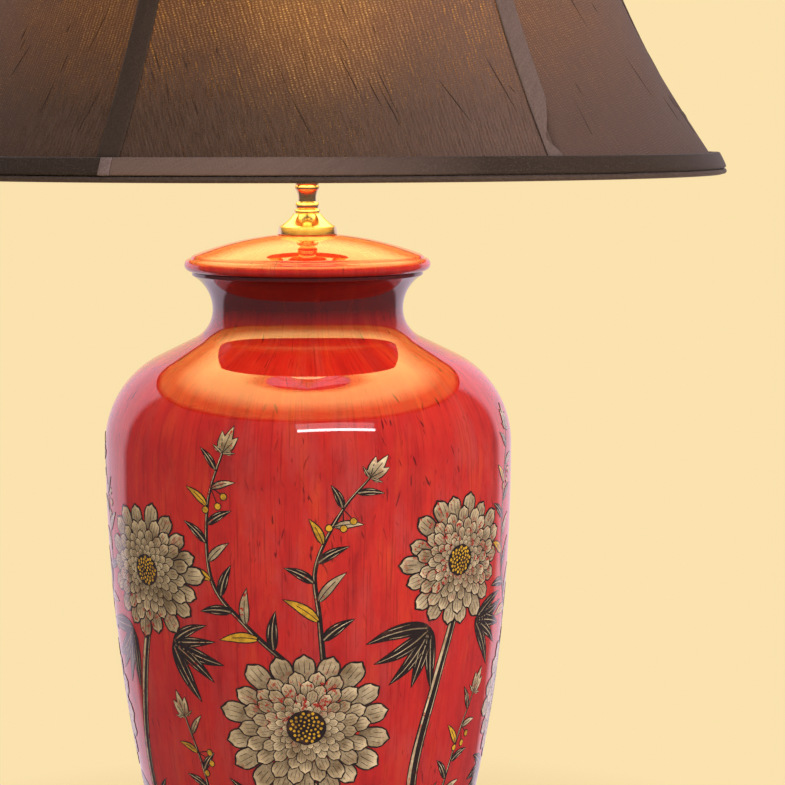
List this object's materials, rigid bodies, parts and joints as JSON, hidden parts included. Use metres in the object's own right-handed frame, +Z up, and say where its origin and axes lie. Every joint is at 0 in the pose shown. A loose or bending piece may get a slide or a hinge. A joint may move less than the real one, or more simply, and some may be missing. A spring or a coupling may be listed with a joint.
{
  "type": "table lamp",
  "caption": "Table lamp with a tall shouldered lacquer jar, domed lid, brass neck, harp and finial, and a six-sided bell shade of brown slub silk.",
  "frame": {"origin": "centre of the felt pad's underside, on the table", "axes": "+Z up along the lamp pipe; -Y is the front, where the switch knob points; the harp lies in XZ"},
  "size_m": [0.5078, 0.5078, 0.8583],
  "materials": {
    "felt": "dark green felt",
    "stand_wood": "dark stained and lacquered hardwood",
    "bushing_plastic": "smooth black",
    "lacquer": "deep red lacquer with a high gloss, brushed streaks",
    "turned_brass": "polished and lacquered",
    "harp_brass": "plated wire and strip",
    "socket_brass": "pressed sheet, bright",
    "zinc_steel": "zinc plated",
    "sleeve_board": "pressed insulating board",
    "core_moulding": "brown phenolic moulding",
    "contact_brass": "pressed",
    "knob_moulding": "black, fluted",
    "shaft_steel": "plain",
    "bulb_glass": "inside frosted",
    "bulb_cap": "pressed screw cap",
    "bulb_tip": "black insulator",
    "frame_wire": "brass coloured lacquered wire",
    "silk": "taupe brown slub silk, fine gold glint",
    "lining": "pale gold lining",
    "trim": "bias-cut silk"
  },
  "bodies": {
    "lamp": {"felt_pad": "felt", "stand": "stand_wood", "cord_bushing": "bushing_plastic", "jar": "lacquer", "lid": "lacquer", "vase_cap": "turned_brass", "neck": "turned_brass", "lamp_pipe": "zinc_steel", "bottom_washer": "zinc_steel", "bottom_nut": "zinc_steel", "harp_saddle": "harp_brass", "saddle_nut": "zinc_steel", "socket_cap": "socket_brass", "socket_shell": "socket_brass", "insulating_sleeve": "sleeve_board", "socket_core": "core_moulding", "screw_shell": "contact_brass", "centre_contact": "contact_brass", "terminal_screws": "contact_brass"},
    "switch": {"switch_knob": "knob_moulding", "switch_shaft": "shaft_steel"},
    "harp": {"harp": "harp_brass"},
    "sleeve_left": {"sleeve_left": "harp_brass"},
    "sleeve_right": {"sleeve_right": "harp_brass"},
    "swivel": {"shade_swivel": "harp_brass"},
    "shade": {"spider": "frame_wire", "top_ring": "frame_wire", "bottom_ring": "frame_wire", "rib_1": "frame_wire", "rib_2": "frame_wire", "rib_3": "frame_wire", "rib_4": "frame_wire", "rib_5": "frame_wire", "rib_6": "frame_wire", "silk_1": "silk", "silk_2": "silk", "silk_3": "silk", "silk_4": "silk", "silk_5": "silk", "silk_6": "silk", "lining": "lining", "tape_1": "trim", "tape_2": "trim", "tape_3": "trim", "tape_4": "trim", "tape_5": "trim", "tape_6": "trim", "trim_band": "trim", "rolled_edge": "trim", "top_band": "trim"},
    "finial_foot": {"finial_foot": "turned_brass"},
    "finial_ball": {"finial_ball": "turned_brass"},
    "bulb_cap": {"bulb_cap": "bulb_cap", "bulb_tip": "bulb_tip"},
    "bulb_glass": {"bulb_glass": "bulb_glass"}
  },
  "joints": [
    {"name": "switch_turn", "type": "hinge", "parent": "lamp", "child": "switch", "pos_m": [0, -0.02, 0.52443], "axis": [0, -1, 0], "continuous": true},
    {"name": "harp_lift", "type": "slide", "parent": "lamp", "child": "harp", "axis": [0, 0, 1], "range_m": [0, 0.02]},
    {"name": "sleeve_left_lift", "type": "slide", "parent": "harp", "child": "sleeve_left", "axis": [0, 0, 1], "range_m": [0, 0.018]},
    {"name": "sleeve_right_lift", "type": "slide", "parent": "harp", "child": "sleeve_right", "axis": [0, 0, 1], "range_m": [0, 0.018]},
    {"name": "shade_turn", "type": "hinge", "parent": "harp", "child": "swivel", "pos_m": [0, 0, 0.81], "axis": [0, 0, 1], "continuous": true},
    {"name": "shade_lift", "type": "slide", "parent": "swivel", "child": "shade", "axis": [0, 0, 1], "range_m": [0, 0.36]},
    {"name": "finial_rise", "type": "slide", "parent": "shade", "child": "finial_foot", "axis": [0, 0, 1], "range_m": [0, 0.0075]},
    {"name": "finial_turn", "type": "hinge", "parent": "finial_foot", "child": "finial_ball", "pos_m": [0, 0, 0.84], "axis": [0, 0, 1], "range_deg": [0, 2920]},
    {"name": "bulb_rise", "type": "slide", "parent": "lamp", "child": "bulb_cap", "axis": [0, 0, 1], "range_m": [0, 0.0181]},
    {"name": "bulb_turn", "type": "hinge", "parent": "bulb_cap", "child": "bulb_glass", "pos_m": [0, 0, 0.6], "axis": [0, 0, 1], "range_deg": [0, 1830]}
  ],
  "couplings": [
    {"joint": "finial_turn", "follows": "finial_rise", "rad_per_m": 6679},
    {"joint": "bulb_turn", "follows": "bulb_rise", "rad_per_m": 1731.6}
  ]
}
